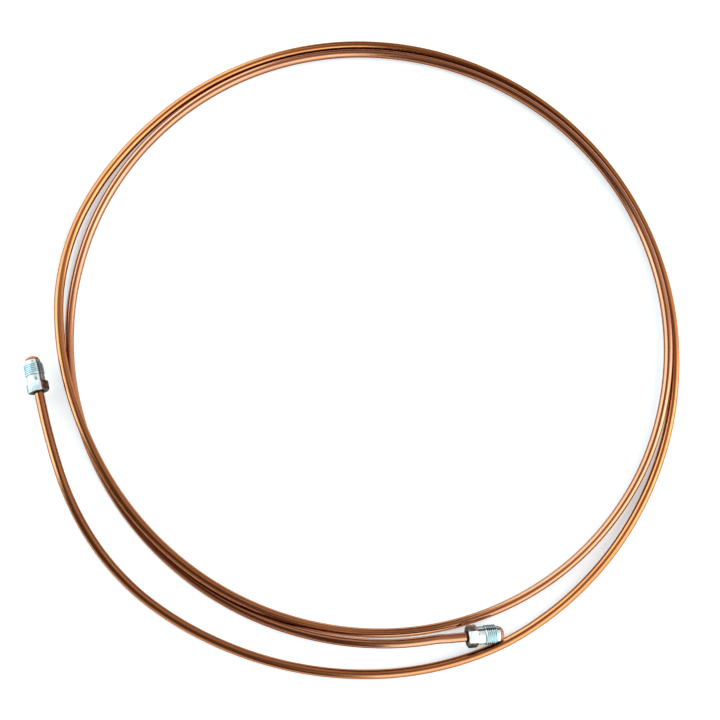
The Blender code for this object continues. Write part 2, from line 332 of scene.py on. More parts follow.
# %% Stations along the coil
# Degrees travelled, and the distance out from the middle turn as shares of OUTER_OUT, then of PITCH.
WIDE_TURN = [(197, 1.085), (201, 1.12), (205, 1.18), (210, 1.28), (216, 1.38), (222, 1.45), (229, 1.475),
             (236, 1.44), (246, 1.36), (262, 1.24), (276, 1.14), (291, 1.00), (300, 0.86), (312, 0.675),
             (324, 0.51), (334, 0.395)]
CLOSE_TURNS = [(344, 1.04), (354, 0.83), (366, 0.74), (380, 0.70), (400, 0.83), (420, 1.03), (450, 1.15),
               (480, 1.06), (495, 1.05), (504, 1.17), (514, 1.40), (523, 1.53), (534, 1.40), (543, 1.03),
               (551, 0.69), (559, 0.41), (567, 0.24), (580, 0.13), (600, 0.06), (628, 0.0), (690, 0.0),
               (708, -0.10), (725, -0.12), (745, -0.08), (770, 0.05), (790, 0.12), (810, 0.14), (835, 0.06),
               (860, 0.0), (885, 0.0), (899, 0.10), (915, 0.28), (930, 0.42), (948, 0.62), (963, 0.80),
               (977, 0.98), (986, 1.09), (994, 1.15)]
FIRST_SWEEP = WIDE_TURN[0][0]
LAST_SWEEP = 1002.9
LEAD_SWEEP = 1000.0            # from here on the coil has the direction of the straight end B
LEAD_ARC = (COIL_RADIUS + END_B_OUT) * math.radians(LAST_SWEEP - LEAD_SWEEP)
LEAD_OUT = END_B_OUT - LEAD_ARC * math.tan(math.radians(END_B_SPLAY))
LEAD_UP = END_B_UP + LEAD_ARC * math.tan(math.radians(END_B_DIP))
OUT = ([(sweep, share * OUTER_OUT) for sweep, share in WIDE_TURN]
       + [(sweep, spacings * PITCH) for sweep, spacings in CLOSE_TURNS]
       + [(LEAD_SWEEP, LEAD_OUT), (LAST_SWEEP, END_B_OUT)])

# Degrees travelled, and the height above the floor as shares of PITCH.
CLIMBS = [(505, 0.0), (516, 0.11), (528, 0.42), (538, 0.74), (548, 0.95), (558, 1.01), (568, 1.0),
          (578, 0.95), (588, 0.86), (600, 0.72), (610, 0.56), (619, 0.37), (628, 0.12), (636, 0.0),
          (682, 0.0), (694, 0.20), (704, 0.42), (714, 0.58), (728, 0.67), (745, 0.66), (758, 0.58),
          (770, 0.46), (785, 0.30), (805, 0.17), (830, 0.17), (850, 0.08), (866, 0.0), (952, 0.0)]
LEVEL_SWEEP = 203.0            # end A keeps its height up to here
LANDING_SWEEP = 231.0          # and the tube is down on the floor from here
# The climb to end B, as shares of its height where the coil takes up the end's direction.
LAST_CLIMB = [(960, 0.06), (968, 0.24), (976, 0.56), (983, 0.84), (990, 1.03), (995, 1.05)]
UP = ([(FIRST_SWEEP, END_A_UP), (LEVEL_SWEEP, END_A_UP), (LANDING_SWEEP, 0.0)]
      + [(sweep, spacings * PITCH) for sweep, spacings in CLIMBS]
      + [(sweep, share * LEAD_UP) for sweep, share in LAST_CLIMB]
      + [(LEAD_SWEEP, LEAD_UP), (LAST_SWEEP, END_B_UP)])
print("turns:", round((LAST_SWEEP - FIRST_SWEEP) / 360, 2), "stations:", len(OUT), "out and", len(UP), "up")

# %% A smooth line through the stations


def smooth_through(stations, at):
    """Cubic curve through the stations, level at each high or low one and never past it."""
    sweep, value = np.array(stations, float).T
    steepness = np.diff(value) / np.diff(sweep)
    slope = (value[2:] - value[:-2]) / (sweep[2:] - sweep[:-2])
    steepest = 3 * np.minimum(abs(steepness[1:]), abs(steepness[:-1]))
    slope = np.where(steepness[1:] * steepness[:-1] > 0, np.clip(slope, -steepest, steepest), 0)
    slope = np.concatenate([steepness[:1], slope, steepness[-1:]])
    span = np.clip(np.searchsorted(sweep, at, side="right") - 1, 0, len(sweep) - 2)
    width = sweep[span + 1] - sweep[span]
    t = (at - sweep[span]) / width
    start = value[span] * (1 + 2 * t) * (1 - t) ** 2 + slope[span] * width * t * (1 - t) ** 2
    end = value[span + 1] * t**2 * (3 - 2 * t) - slope[span + 1] * width * t**2 * (1 - t)
    return start + end


def coil_point(sweep):
    """Centre line in the coil: a circle of radius COIL_RADIUS + out, at height TUBE_R + up."""
    angle = np.radians(sweep)
    radius = COIL_RADIUS + smooth_through(OUT, sweep)
    height = TUBE_R + smooth_through(UP, sweep)
    return np.stack([radius * np.cos(angle), radius * np.sin(angle), height], axis=-1)


print("start of the coil, mm:", (coil_point(np.array([FIRST_SWEEP]))[0] / MM).round(2))

# %% [markdown]
# ## Where the coil stands in the frame
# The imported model's origin lies under the middle of the whole line, while the stations go round the centre
# of the coil. The shift between the two could be typed in, but it would be wrong as soon as a size changes.
# Each nut turns about a joint of the frame, at the end of its straight length of tube. So the joint of nut A
# places the coil, and that of nut B checks it.

# %% Find the coil's centre in the frame
joints = {joint["child"]: joint for joint in frame["joints"]}
nose_a = np.array(Vector(joints["nut_a"]["axis"]).normalized())
nose_b = np.array(Vector(joints["nut_b"]["axis"]).normalized())
rear_a = np.array(joints["nut_a"]["pos_m"])
rear_b = np.array(joints["nut_b"]["pos_m"])
COIL_CENTRE = rear_a - nose_a * END_A_STRAIGHT - coil_point(np.array([FIRST_SWEEP]))[0]
end_b = rear_b - nose_b * END_B_STRAIGHT - coil_point(np.array([LAST_SWEEP]))[0]
print("coil centre, mm:", (COIL_CENTRE / MM).round(3), "and from the other nut:", (end_b / MM).round(3))

# %% [markdown]
# ## The flares
# A press folds each end of the tube into a bubble: the rim swells out, the front is a slightly bowed cone
# that seals in the port, and the bore bellies out inside the fold. It could be a shape of its own, joined
# with a Boolean, but the flare is the tube's own metal. So it is only a profile, a list of distances and
# radii, and the rings of the tube run on through it.

# %% Profile of a flare
FLARE_SWELL = 1.10 * MM        # of the rim beyond the tube
FLARE_LENGTH = 1.75 * MM
FLARE_RIM = 0.45 * MM          # radius of the rim's arc
RIM_TURN = 125                 # degrees that the arc turns through
FLARE_CROWN = 0.12 * MM        # bulge of the front
FLARE_FOLD = 0.45 * MM         # how far the bore bellies out
MOUTH_LIP = 0.35 * MM
LIP_ROUND = 0.12 * MM
RIM_STEPS, FRONT_STEPS, LIP_STEPS, BELLY_STEPS = 14, 12, 8, 16


def bow(start, end, bulge, steps):
    """Points from start to end, moved sideways by bulge times a parabola that is 1 half way."""
    start, end = np.array(start), np.array(end)
    t = np.linspace(0, 1, steps)
    chord = end - start
    side = np.array([-chord[1], chord[0]]) / np.linalg.norm(chord)
    return start + np.outer(t, chord) + np.outer(4 * t * (1 - t) * bulge, side)


def flare_profile():
    """Outside (arc, bowed cone, lip) and bore of a flare: distance in front of its back, and radius."""
    rim_r = TUBE_R + FLARE_SWELL
    mouth_r = TUBE_R - MOUTH_LIP
    turn = np.radians(np.linspace(0, RIM_TURN, RIM_STEPS))
    rim = np.stack([FLARE_RIM * (1 - np.cos(turn)), rim_r - FLARE_RIM * (1 - np.sin(turn))], axis=-1)
    root = np.array([[0.0, TUBE_R]])
    front_end = (FLARE_LENGTH - LIP_ROUND, mouth_r + LIP_ROUND / 2)
    front = bow(rim[-1], front_end, FLARE_CROWN, FRONT_STEPS)[1:]
    lip = bow(front[-1], (FLARE_LENGTH - LIP_ROUND, mouth_r - LIP_ROUND), LIP_ROUND, LIP_STEPS)[1:]
    belly = bow(lip[-1], (FLARE_LENGTH / 4, BORE_R), 0.0, BELLY_STEPS)[1:]
    t = np.linspace(0, 1, BELLY_STEPS)[1:]
    belly[:, 1] += FLARE_FOLD * np.sin(np.pi * t) ** 2
    return np.concatenate([root, rim, front, lip]), belly


print("rings of a flare: outside and bore", [len(part) for part in flare_profile()])

# %% [markdown]
# ## The tube
# A tube like this is drawn through a die and wound on a drum, then cut and flared. A curve with a bevel
# would draw it, but its cross-section could carry neither the flares nor the bore. Instead the skin is one
# grid of rings: out along the outside, over the flare, and back through the bore, closed like the real wall.

# %% Rings along the whole tube
FINE_STEP = 0.75         # degrees of coil between two rings outside
BORE_STEP = 3.0          # degrees between two rings of the bore, which shows only at the mouths
SHANK_RINGS = 12         # along each straight end


def unit(vectors):
    """Each vector divided by its length."""
    return vectors / np.linalg.norm(vectors, axis=-1, keepdims=True)


def coil_rings(step):
    """Centres and directions along the coil, with the straight ends' own directions at both ends."""
    inside = np.arange(math.ceil(FIRST_SWEEP / step) + 1, math.floor(LAST_SWEEP / step)) * step
    centres = coil_point(np.concatenate([[FIRST_SWEEP], inside, [LAST_SWEEP]])) + COIL_CENTRE
    along = unit(np.gradient(centres, axis=0))
    along[0], along[-1] = -nose_a, nose_b
    return centres, along


def end_rings(rear, nose, straight):
    """Outside and bore of a straight end with its flare: centres, directions and radii, from the coil on."""
    seat = straight + NUT_LENGTH + SEAT_GAP
    outside, bore = flare_profile()
    shank = np.linspace(0, seat, SHANK_RINGS + 2)[1:-1]
    out = np.concatenate([np.stack([shank, np.full(SHANK_RINGS, TUBE_R)], axis=-1), outside + (seat, 0)])
    back = np.concatenate([bore + (seat, 0), np.stack([shank[::-1], np.full(SHANK_RINGS, BORE_R)], axis=-1)])
    start = rear - nose * straight
    return [(start + np.outer(run[:, 0], nose), np.tile(nose, (len(run), 1)), run[:, 1])
            for run in (out, back)]


def tube_skin():
    """Centres, directions and radii of every ring: mouth A, coil, mouth B, and back through the bore."""
    out_a, back_a = end_rings(rear_a, nose_a, END_A_STRAIGHT)
    out_b, back_b = end_rings(rear_b, nose_b, END_B_STRAIGHT)
    outer, outer_way = coil_rings(FINE_STEP)
    inner, inner_way = coil_rings(BORE_STEP)
    stretches = [(out_a[0][::-1], -out_a[1], out_a[2][::-1]),
                 (outer, outer_way, np.full(len(outer), TUBE_R)),
                 out_b,
                 back_b,
                 (inner[::-1], inner_way[::-1], np.full(len(inner), BORE_R)),
                 (back_a[0][::-1], -back_a[1], back_a[2][::-1])]
    return [np.concatenate(column) for column in zip(*stretches)]


centres, ways, radii = tube_skin()
print("rings of the tube:", len(centres))

# %% [markdown]
# ## From rings to a mesh
# A mesh is a list of points, and of faces that name their points by number. It could be built point by
# point, but with arrays a short sum gives the corners of every face at once. Each point also keeps its place
# on the straightened piece for the finish, because drawing marks run along the tube and not along the room.

# %% Points, faces and pieces


def ring_points(centres, along, radii, sides):
    """Circles across the tube: centre + radius * (sine * level side + cosine * upper side)."""
    across = unit(np.cross((0, 0, 1), along))
    above = np.cross(along, across)
    turn = np.arange(sides) * 2 * np.pi / sides
    rim = np.sin(turn)[:, None] * across[:, None] + np.cos(turn)[:, None] * above[:, None]
    return centres[:, None] + radii[:, None, None] * rim


def straightened(centres, radii, sides):
    """Place of each ring point on the straightened tube: sine, cosine and distance along it."""
    along = np.concatenate([[0], np.cumsum(np.linalg.norm(np.diff(centres, axis=0), axis=-1))])
    turn = np.arange(sides) * 2 * np.pi / sides
    return np.stack([radii[:, None] * np.sin(turn), radii[:, None] * np.cos(turn),
                     along[:, None] + 0 * turn], axis=-1)


def ring_faces(count, sides):
    """Quads between each ring and the next, and between the last and the first."""
    row, column = np.meshgrid(np.arange(count), np.arange(sides), indexing="ij")
    next_row, next_column = (row + 1) % count, (column + 1) % sides
    return np.stack([row * sides + column, next_row * sides + column,
                     next_row * sides + next_column, row * sides + next_column], axis=-1).reshape(-1, 4)


def mesh_piece(name, points, finish_place, sharp_angle, masks):
    """A closed piece from rings of points, with the place of each point for its finish, and its masks.

    An edge stays sharp where its faces turn by more than `sharp_angle` degrees.
    """
    count, sides = points.shape[:2]
    faces = ring_faces(count, sides)
    mesh = bpy.data.meshes.new(name)
    mesh.vertices.add(count * sides)
    mesh.vertices.foreach_set("co", points.ravel())
    mesh.loops.add(faces.size)
    mesh.loops.foreach_set("vertex_index", faces.ravel())
    mesh.polygons.add(len(faces))
    mesh.polygons.foreach_set("loop_start", np.arange(0, faces.size, 4))
    mesh.update(calc_edges=True)
    mesh.validate()
    place = mesh.attributes.new("finish_place", "FLOAT_VECTOR", "POINT")
    place.data.foreach_set("vector", finish_place.ravel())
    for mask, amount in masks.items():
        values = amount.astype(np.float32).ravel()
        mesh.attributes.new(mask, "FLOAT", "POINT").data.foreach_set("value", values)
    mesh.shade_smooth()
    mesh.set_sharp_from_angle(angle=math.radians(sharp_angle))
    piece = bpy.data.objects.new(name, mesh)
    bpy.context.scene.collection.objects.link(piece)
    print(name, "has", 2 * len(faces), "triangles")
    return piece


# %% Make the tube
TUBE_SIDES = 40
TUBE_SHARP = 40.0
tube = mesh_piece("fine_tube", ring_points(centres, ways, radii, TUBE_SIDES),
                  straightened(centres, radii, TUBE_SIDES), TUBE_SHARP, {})

# %% [markdown]
# ## The nuts
# A tube nut starts as a hexagonal bar in a lathe. The tool turns the end faces to a 30 degree chamfer, which
# leaves the curved corners on the flats, then the neck and the nose, and a die cuts the M10 x 1 thread. A
# nut could be joined from a prism and cylinders with Boolean cuts. Here its whole skin is one grid instead:
# a profile from the rear to the nose, repeated round the axis, whose radius also depends on the angle at the
# hexagon and in the thread. Each corner of the profile is softened, so that its edge catches a thin light.

# %% The hexagon and soft corners
HEX_CORNER = 0.25 * MM         # rounding of the six long edges
NUT_SIDES = 144
EDGE_SOFT = 0.10 * MM
EDGE_SHARE = 0.45              # of a side of the profile, at most, that one corner takes up
SOFT_STEPS = 4
nut_turn = np.arange(NUT_SIDES) * 2 * np.pi / NUT_SIDES


def hex_reach(turn):
    """Radius of the rounded hexagon: across-flats / 2 / cos(angle off the flat), or the corner's arc."""
    half_flat = np.pi / 6
    off_flat = abs((turn + half_flat) % (2 * half_flat) - half_flat)
    flat = HEX_AF / 2 / np.cos(off_flat)
    corner_place = (HEX_AF / 2 - HEX_CORNER) / math.cos(half_flat)
    off_corner = half_flat - off_flat
    inside = np.maximum(HEX_CORNER**2 - (corner_place * np.sin(off_corner)) ** 2, 0)
    arc = corner_place * np.cos(off_corner) + np.sqrt(inside)
    return np.where(inside > 0, np.minimum(flat, arc), flat)


def corner(run, radius):
    """One corner of the profile all round the nut: distance along the axis, and radius."""
    return np.stack([run + 0 * nut_turn, radius + 0 * nut_turn], axis=-1)


def soften(corners):
    """Replace each inner corner by a parabola that touches both of its sides within EDGE_SOFT of it."""
    rings = [corners[0]]
    for before, here, after in zip(corners, corners[1:], corners[2:]):
        back, ahead = before - here, after - here
        reach_back = np.minimum(EDGE_SOFT, EDGE_SHARE * np.linalg.norm(back, axis=-1, keepdims=True))
        reach_ahead = np.minimum(EDGE_SOFT, EDGE_SHARE * np.linalg.norm(ahead, axis=-1, keepdims=True))
        enter, leave = here + unit(back) * reach_back, here + unit(ahead) * reach_ahead
        rings += [enter * (1 - t) ** 2 + 2 * here * t * (1 - t) + leave * t**2
                  for t in np.linspace(0, 1, SOFT_STEPS)]
    return rings + [corners[-1]]


print("hexagon across its corners, mm:", round(2 * hex_reach(nut_turn).max() / MM, 2))

# %% [markdown]
# ## The thread
# A thread is one groove that winds round the nut and moves on by one pitch in each full turn. A Screw
# modifier could sweep it, but its mesh would then have to be joined to the rest of the nut. In this grid the
# groove is only a radius that goes down and up again with the distance along the axis plus the share of a
# turn. It fades in behind, as a die leaves it, and both ends are cones.

# %% Radius in the thread
THREAD_PITCH = 1.0 * MM
THREAD_DEPTH = 0.54 * MM
THREAD_CREST = 1 / 8           # flat at the crest, as a share of the pitch
THREAD_ROOT = 1 / 4
THREAD_CHAMFER = 0.5 * MM
RINGS_PER_PITCH = 20
RUN_OUT = 0.8 * MM             # over which the cut fades in behind


def thread_radius(run):
    """Crest radius less the V-shaped cut, whose phase is run / pitch + turn / full turn.

    The cut fades in from the neck, and cones bound both ends of the thread.
    """
    phase = run / THREAD_PITCH + nut_turn / (2 * np.pi)
    off_crest = abs(phase % 1 - 0.5) * 2
    cut = np.clip((off_crest - THREAD_CREST) / (1 - THREAD_CREST - THREAD_ROOT), 0, 1)
    fade = np.clip((run - THREAD_START) / RUN_OUT, 0, 1)
    helix = THREAD_OD / 2 - THREAD_DEPTH * cut * fade
    rear_cone = NECK_OD / 2 + (run - THREAD_START)
    front_cone = THREAD_OD / 2 - THREAD_CHAMFER + (THREAD_END - run)
    return np.minimum(helix, np.minimum(rear_cone, front_cone))


print("turns of thread:", round(THREAD_LENGTH / THREAD_PITCH, 1))

# %% [markdown]
# ## The profile of a nut
# The rings follow each other out of the bore over the rear face, along the chamfered hexagon, the neck, the
# thread and the nose, and back into the bore. Two rings would be enough for a plain cylinder. The neck and
# the nose have more of them, because marks are kept in the points, and a small one would fall between.

# %% Rings of a nut
HEX_CHAMFER_ANGLE = 30.0
HEX_FACE_INSET = 0.10 * MM     # how far inside the flats the round end faces stop
NOSE_EDGE = 0.25 * MM
SINK_OD = 7.0 * MM             # countersink in the rear
SINK_DEPTH = 0.8 * MM
BORE_CLEARANCE = 0.20 * MM
STEP_SHADE_LINE = 0.12 * MM         # half width of the line of painted shade where the thread begins
RING_STEP = 0.28 * MM          # between the rings of the neck and the nose


def nut_profile():
    """Rings from the bore's rear out over the hexagon, neck, thread and nose, to the bore's front."""
    flats = hex_reach(nut_turn)
    face_r = HEX_AF / 2 - HEX_FACE_INSET
    bevel = (flats - face_r) * math.tan(math.radians(HEX_CHAMFER_ANGLE))
    bore_r = TUBE_R + BORE_CLEARANCE
    neck_rings = np.arange(HEX_LENGTH + RING_STEP, THREAD_START - 2 * STEP_SHADE_LINE, RING_STEP)
    nose_rings = np.arange(THREAD_END + RING_STEP, NUT_LENGTH - NOSE_EDGE, RING_STEP)
    body = soften([corner(SINK_DEPTH, bore_r), corner(0, SINK_OD / 2), corner(0, face_r),
                   corner(bevel, flats), corner(HEX_LENGTH - bevel, flats), corner(HEX_LENGTH, face_r),
                   corner(HEX_LENGTH, NECK_OD / 2),
                   *[corner(run, NECK_OD / 2) for run in neck_rings], corner(THREAD_START, NECK_OD / 2)])
    steps = int(THREAD_LENGTH / THREAD_PITCH * RINGS_PER_PITCH)
    thread_rings = np.linspace(THREAD_START, THREAD_END, steps + 1)[1:]
    thread = [corner(run, thread_radius(run)) for run in thread_rings]
    nose = soften([thread[-1], corner(THREAD_END, NOSE_OD / 2),
                   *[corner(run, NOSE_OD / 2) for run in nose_rings],
                   corner(NUT_LENGTH - NOSE_EDGE, NOSE_OD / 2),
                   corner(NUT_LENGTH, NOSE_OD / 2 - NOSE_EDGE), corner(NUT_LENGTH, bore_r),
                   corner(SINK_DEPTH + 2 * EDGE_SOFT, bore_r)])
    return np.array(body + thread + nose[1:])


print("rings of a nut:", len(nut_profile()))

# %% [markdown]
# ## Painted reflections, painted shade and nicks on the nuts
# The plating carries painted reflections: some flats are painted brown, nut A has a teal side and a slate
# grey one, nut B a slate grey side, and a thin brown line runs along each nut in front of the hexagon. Nut
# B's lower side, the sawn rear face, the sink, the line where the thread begins and the depth of the thread
# are painted darker as shade. There are also three small nicks. This could be painted on an image by hand.
# But most of it follows the nut's own shape, so each kind of mark is a mask instead: a number from 0 to 1 in
# every point of the grid, which the material reads later.

# %% Masks of painted reflection, painted shade and nicks
# Sides are in degrees from the top flat: 90 is on the left for one who looks towards the nose.
# Painted reflection: these flats of the hexagon are painted brown.
BROWN_REFLECTION_FLATS = {"tube_nut_a": (-60,), "tube_nut_b": (-60, 60)}
# Painted reflection: teal and slate grey on these sides.
TEAL_REFLECTION_SIDES = {"tube_nut_a": (90,), "tube_nut_b": ()}
SLATE_REFLECTION_SIDES = {"tube_nut_a": (-90,), "tube_nut_b": (90,)}
TINT_REACH = 40
# Painted shade: nut B's lower side is made near-black.
SHADED_SIDES = {"tube_nut_a": (), "tube_nut_b": (-100,)}
SHADED_SIDE_REACH = 47
SIDE_SOFT = 12
# Painted reflection: a thin brown line along each nut, partly darkened as well.
BROWN_LINES = {"tube_nut_a": -45, "tube_nut_b": 43}
BROWN_LINE_REACH = 10
BROWN_LINE_SOFT = 4
BROWN_LINE_DARKENING = 0.4
# Nicks: distance from the rear, degrees, half length and half width in degrees.
NICKS = {"tube_nut_a": [(6.3 * MM, -14, 1.0 * MM, 6.0), (15.6 * MM, -13, 0.35 * MM, 5.0)],
         "tube_nut_b": [(5.2 * MM, 15, 0.35 * MM, 9.0)]}
NICK_SOFT = 0.4
NICK_DARK = 0.85
REAR_SKIN = 0.03 * MM          # depth to which the rear face counts as sawn; it is painted dark as shade
VALLEY_SHARE = 0.5             # of the thread's depth, at which the painted shade of the valley is full


def off_side(turn, side):
    """Degrees between a place and a side of the nut, the shorter way round."""
    return abs((turn - side + 180) % 360 - 180)


def side_mask(turn, side, reach, soft=SIDE_SOFT):
    """1 on the side of a nut at `side` degrees, out to `reach` degrees, with a soft edge."""
    return np.clip((reach - off_side(turn, side)) / soft, 0.0, 1.0)


def sides_mask(run, turn, sides, reach):
    """The masks of several sides together, everywhere but on the rear face."""
    return np.clip(sum(side_mask(turn, side, reach) for side in sides) * (run > REAR_SKIN), 0.0, 1.0)


def nick_mask(run, turn, place, side, half_long, half_wide):
    """1 in the middle of a small mark, 0 beyond its half length and half width."""
    off = np.hypot((run - place) / half_long, off_side(turn, side) / half_wide)
    return np.clip((1 - off) / NICK_SOFT, 0.0, 1.0)


def wear_and_painted_light(name, run, radius):
    """Masks by distance along the axis, radius and side.

    'brown_reflection' is 1 on the flats and the line of painted brown reflection, 'teal_reflection' and
    'slate_reflection' on the sides of painted reflection, and 'valley' in the depth of the thread, for its
    painted shade. 'nicks_and_painted_shade' is the largest of the painted shade on the sawn rear and the
    sink, on the line behind the thread and on the shaded sides, of the nicks, and of a part of the brown
    line.
    """
    turn = np.degrees(nut_turn)
    near_flat = [off_side(turn, flat) < HALF_FLAT for flat in BROWN_REFLECTION_FLATS[name]]
    on_hexagon = (run > REAR_SKIN) & (run < HEX_LENGTH) & (radius > HEX_AF / 2 - EDGE_SOFT)
    # Painted shade: the rear face and the sink are made near-black.
    rear = (run < REAR_SKIN) | ((run < 2 * SINK_DEPTH) & (radius < SINK_OD / 2))
    # Painted shade: a dark line where the neck steps up to the thread.
    line = abs(run - THREAD_START) < STEP_SHADE_LINE
    # Painted reflection: the thin brown line along the nut.
    brown_line = side_mask(turn, BROWN_LINES[name], BROWN_LINE_REACH, BROWN_LINE_SOFT) * (run > HEX_LENGTH)
    nicks = sum(nick_mask(run, turn, *nick) for nick in NICKS[name]) * NICK_DARK
    # Real nicks, and a part of the painted brown line.
    marks = np.maximum(nicks, BROWN_LINE_DARKENING * brown_line)
    # Painted shade: the lower sides that are made near-black.
    under = sides_mask(run, turn, SHADED_SIDES[name], SHADED_SIDE_REACH)
    # Painted reflection: brown on the chosen flats and along the brown line.
    return {"brown_reflection": np.maximum(on_hexagon & np.any(near_flat, axis=0), brown_line),
            # Painted reflection: teal and slate grey on the chosen sides.
            "teal_reflection": sides_mask(run, turn, TEAL_REFLECTION_SIDES[name], TINT_REACH),
            "slate_reflection": sides_mask(run, turn, SLATE_REFLECTION_SIDES[name], TINT_REACH),
            # Painted shade: darker towards the depth of the thread.
            "valley": np.clip((THREAD_OD / 2 - radius) / (VALLEY_SHARE * THREAD_DEPTH), 0.0, 1.0),
            "nicks_and_painted_shade": np.maximum(np.maximum(rear | line, under), marks)}


print("nicks:", sum(len(nicks) for nicks in NICKS.values()))

# %% [markdown]
# ## Set the nuts in place
# Each nut sits on its straight end of tube, with the rear of the hexagon at the joint that turns it. It
# could be modelled along X and then moved as an object. Here the points themselves are turned and moved, so
# that the nut, like the tube, keeps the frame's origin as its own.

# %% Make the two nuts
NUT_SHARP = 32.0


def make_nut(name, rear, nose):
    """A nut in place: its profile round the joint's axis, rolled so that one flat is nearly level."""
    profile = nut_profile()
    run, radius = profile[..., 0], profile[..., 1]
    local = np.stack([run, radius * np.sin(nut_turn), radius * np.cos(nut_turn)], axis=-1)
    heading = Matrix.Rotation(math.atan2(nose[1], nose[0]), 3, "Z")
    climb = Matrix.Rotation(-math.asin(nose[2]), 3, "Y")
    roll = Matrix.Rotation(math.radians(HEX_ROLLS[name]), 3, "X")
    turned = np.array(heading @ climb @ roll)
    return mesh_piece("fine_" + name, local @ turned.T + rear, local, NUT_SHARP, wear_and_painted_light(name, run, radius))


nut_a = make_nut("tube_nut_a", rear_a, nose_a)
nut_b = make_nut("tube_nut_b", rear_b, nose_b)

# %% [markdown]
# ## Shared effects
# Two effects belong to both metals. A drawing die leaves fine lines along the tube, and a lathe leaves the
# same kind of line round a nut: both are a noise stretched along one direction. And both metals carry small
# dark marks: nicks from handling, and grime. Instead of being built anew in each material, each effect is a
# node group with named sockets that puts out only masks and heights.

# %% Node groups for tool lines and for specks
LINES_DETAIL, BANDS_DETAIL = 3.0, 1.0
BANDS_SCALE = 0.25             # the bands are four times as wide and as long as the lines
SPECK_FULL, SPECK_EDGE = 0.16, 0.26    # where a speck's disc begins to fade and where it ends, in cells


def new_group(name, inputs, outputs):
    """An empty node group with its sockets, and its input and output nodes."""
    group = bpy.data.node_groups.new(name, "ShaderNodeTree")
    for socket, kind in inputs.items():
        group.interface.new_socket(socket, in_out="INPUT", socket_type=kind)
    for socket in outputs:
        group.interface.new_socket(socket, in_out="OUTPUT", socket_type="NodeSocketFloat")
    return group, group.nodes.new("NodeGroupInput").outputs, group.nodes.new("NodeGroupOutput").inputs


def add_noise(tree, vector, scale, detail=2.0):
    """A noise node read at `vector`."""
    noise = tree.nodes.new("ShaderNodeTexNoise")
    for socket, value in (("Vector", vector), ("Scale", scale), ("Detail", detail)):
        feed(tree, noise.inputs[socket], value)
    return noise.outputs["Fac"]


def tool_lines_group():
    """Noise on a stretched vector: 'Lines' is the fine height, 'Bands' a slower change of tone."""
    group, given, result = new_group("tool_lines", {"Place": "NodeSocketVector",
                                                    "Stretch": "NodeSocketVector"}, ("Lines", "Bands"))
    stretched = group.nodes.new("ShaderNodeVectorMath")
    stretched.operation = "MULTIPLY"
    feed(group, stretched.inputs[0], given["Place"])
    feed(group, stretched.inputs[1], given["Stretch"])
    feed(group, result["Lines"], add_noise(group, stretched.outputs[0], 1.0, LINES_DETAIL))
    feed(group, result["Bands"], add_noise(group, stretched.outputs[0], BANDS_SCALE, BANDS_DETAIL))
    return group


def specks_group():
    """A soft disc round the point of a cell, in the share of the cells whose random red is below Share."""
    group, given, result = new_group("specks", {"Place": "NodeSocketVector", "Density": "NodeSocketFloat",
                                                "Share": "NodeSocketFloat"}, ("Mask",))
    cells = group.nodes.new("ShaderNodeTexVoronoi")
    feed(group, cells.inputs["Vector"], given["Place"])
    feed(group, cells.inputs["Scale"], given["Density"])
    disc = add_range(group, cells.outputs["Distance"], SPECK_FULL, SPECK_EDGE, 1.0, 0.0)
    chosen = group.nodes.new("ShaderNodeSeparateColor")
    feed(group, chosen.inputs["Color"], cells.outputs["Color"])
    kept = add_math(group, "LESS_THAN", chosen.outputs["Red"], given["Share"])
    feed(group, result["Mask"], add_math(group, "MULTIPLY", disc, kept))
    return group


TOOL_LINES = tool_lines_group()
SPECKS = specks_group()
print("node groups:", TOOL_LINES.name, SPECKS.name)

# %% [markdown]
# ## Copper
# Drawn copper is bright but never even. The die leaves lengthwise lines, the wide outer turn is more golden
# and the later turns are paler, the lower sides carry painted brown shade and reflection, and there are a few
# nicks.
# Its colour is the colour of its reflection, so it is a full metal with a warm base colour. The lines move
# its roughness and its bump, which draws the reflections out into long strands, and a clear film on the top
# whitens the brightest of them. One colour with one roughness would look like plastic.

# %% Copper colours and measures
GOLDEN_BRIGHT = (0.59, 0.232, 0.072, 1.0)
GOLDEN_BROWN = (0.44, 0.150, 0.046, 1.0)
PALE_BRIGHT = (0.58, 0.240, 0.106, 1.0)
PALE_BROWN = (0.44, 0.156, 0.064, 1.0)
END_UNTIL, GOLDEN_FROM = 0.20, 0.36    # metres of tube from its end A
GOLDEN_UNTIL, PALE_FROM = 0.95, 1.55
END_PALENESS = 0.5
COPPER_SPECK = (0.045, 0.018, 0.012, 1.0)
# Painted shade and reflection: the tube's lower sides are darkened towards this brown.
COPPER_SIDE_SHADE = (0.16, 0.045, 0.020, 1.0)
UNDER_FROM, UNDER_TO = 0.72, 0.10      # shares of the radius: heights where the painted brown shade begins and is full
UNDER_SHARE = 0.88
COPPER_GRAZING = (0.80, 0.42, 0.28, 1.0)       # its reflections where it is seen edge on
GOLDEN_LACQUER, PALE_LACQUER = 0.35, 1.0       # weight of the clear film
LACQUER_ROUGHNESS = 0.12
LINE_WIDTH = 0.16 * MM
LINE_LENGTH = 10 * MM
LINE_HEIGHT = 0.02 * MM
LINES_SPAN = (0.3, 0.7)                # most of the noise's values lie in these spans
BANDS_SPAN = (0.35, 0.65)
COPPER_ROUGHNESS = (0.11, 0.25)
COPPER_BUMP = 0.25
COPPER_SPECKS = 1300.0                 # cells to the metre
SPECK_SHARE = 0.03                     # of the cells have a speck
print("golden up to", GOLDEN_UNTIL, "m of tube, pale from", PALE_FROM, "m")

# %% Copper material


def add_attribute(tree, name, output):
    """One of the piece's own attributes: 'Vector' of its place, or 'Fac' of a mask."""
    attribute = tree.nodes.new("ShaderNodeAttribute")
    attribute.attribute_name = name
    return attribute.outputs[output]


